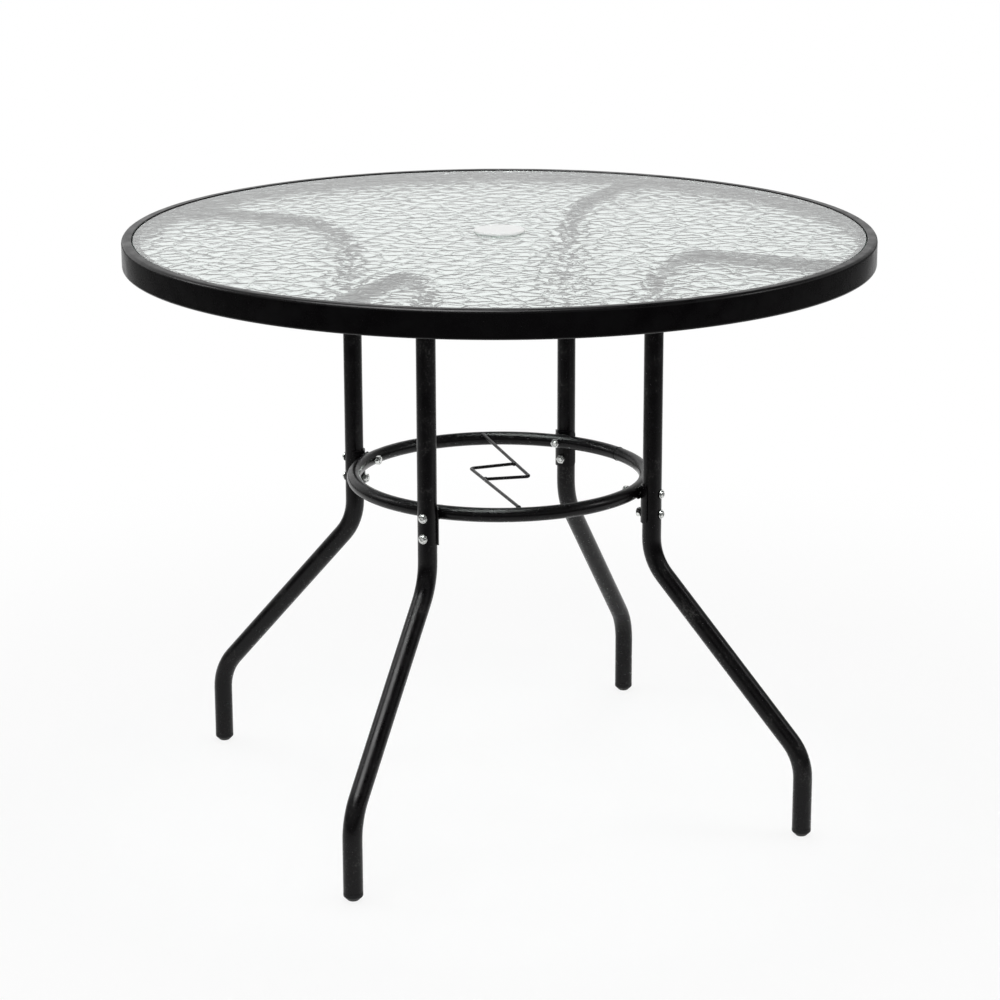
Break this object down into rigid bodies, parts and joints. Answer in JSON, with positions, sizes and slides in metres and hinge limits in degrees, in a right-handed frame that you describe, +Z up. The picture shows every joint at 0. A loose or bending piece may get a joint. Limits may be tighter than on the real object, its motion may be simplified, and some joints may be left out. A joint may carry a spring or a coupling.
{
  "type": "umbrella table",
  "caption": "Round patio table with a rippled glass top in a steel rim, bent tube legs, a brace ring and a capped umbrella hole.",
  "frame": {"origin": "on the floor, straight below the centre of the umbrella hole; the four foot caps rest on Z = 0", "axes": "+Z up; the legs lie on -Y (front), +X (right), +Y (back) and -X (left), with their feet pointing outwards"},
  "size_m": [0.9, 0.9, 0.71],
  "materials": {
    "powder_coat": "black powder coat, satin, with a fine orange-peel texture",
    "ripple_glass": "tempered glass with a rippled, water-wave relief and a pale green-grey tint",
    "seal_rubber": "matte black foam rubber",
    "white_plastic": "white moulded plastic, softly satin",
    "black_plastic": "black moulded plastic, lightly grained and scuffed where it meets the floor",
    "zinc": "bright zinc plate"
  },
  "bodies": {
    "table": {"rim_frame": "powder_coat", "glass_top": "ripple_glass", "glass_seal": "seal_rubber", "umbrella_hole_grommet": "white_plastic", "brace_ring": "powder_coat", "pole_guide_wire_back": "powder_coat", "pole_guide_wire_front": "powder_coat", "leg_front": "powder_coat", "brace_saddle_front": "powder_coat", "rim_bracket_front": "powder_coat", "leg_right": "powder_coat", "brace_saddle_right": "powder_coat", "rim_bracket_right": "powder_coat", "leg_back": "powder_coat", "brace_saddle_back": "powder_coat", "rim_bracket_back": "powder_coat", "leg_left": "powder_coat", "brace_saddle_left": "powder_coat", "rim_bracket_left": "powder_coat", "foot_cap_front": "black_plastic", "foot_cap_right": "black_plastic", "foot_cap_back": "black_plastic", "foot_cap_left": "black_plastic", "leg_bolt_upper_front": "zinc", "leg_washer_upper_front": "zinc", "leg_nut_upper_front": "zinc", "leg_bolt_lower_front": "zinc", "leg_washer_lower_front": "zinc", "leg_nut_lower_front": "zinc", "leg_bolt_upper_right": "zinc", "leg_washer_upper_right": "zinc", "leg_nut_upper_right": "zinc", "leg_bolt_lower_right": "zinc", "leg_washer_lower_right": "zinc", "leg_nut_lower_right": "zinc", "leg_bolt_upper_back": "zinc", "leg_washer_upper_back": "zinc", "leg_nut_upper_back": "zinc", "leg_bolt_lower_back": "zinc", "leg_washer_lower_back": "zinc", "leg_nut_lower_back": "zinc", "leg_bolt_upper_left": "zinc", "leg_washer_upper_left": "zinc", "leg_nut_upper_left": "zinc", "leg_bolt_lower_left": "zinc", "leg_washer_lower_left": "zinc", "leg_nut_lower_left": "zinc", "rim_bolt_front": "zinc", "rim_nut_front": "zinc", "rim_bolt_right": "zinc", "rim_nut_right": "zinc", "rim_bolt_back": "zinc", "rim_nut_back": "zinc", "rim_bolt_left": "zinc", "rim_nut_left": "zinc"},
    "hole_cap": {"umbrella_hole_cap": "white_plastic"}
  },
  "joints": [
    {"name": "cap_lift", "type": "slide", "parent": "table", "child": "hole_cap", "axis": [0, 0, 1], "range_m": [0, 0.06]}
  ]
}
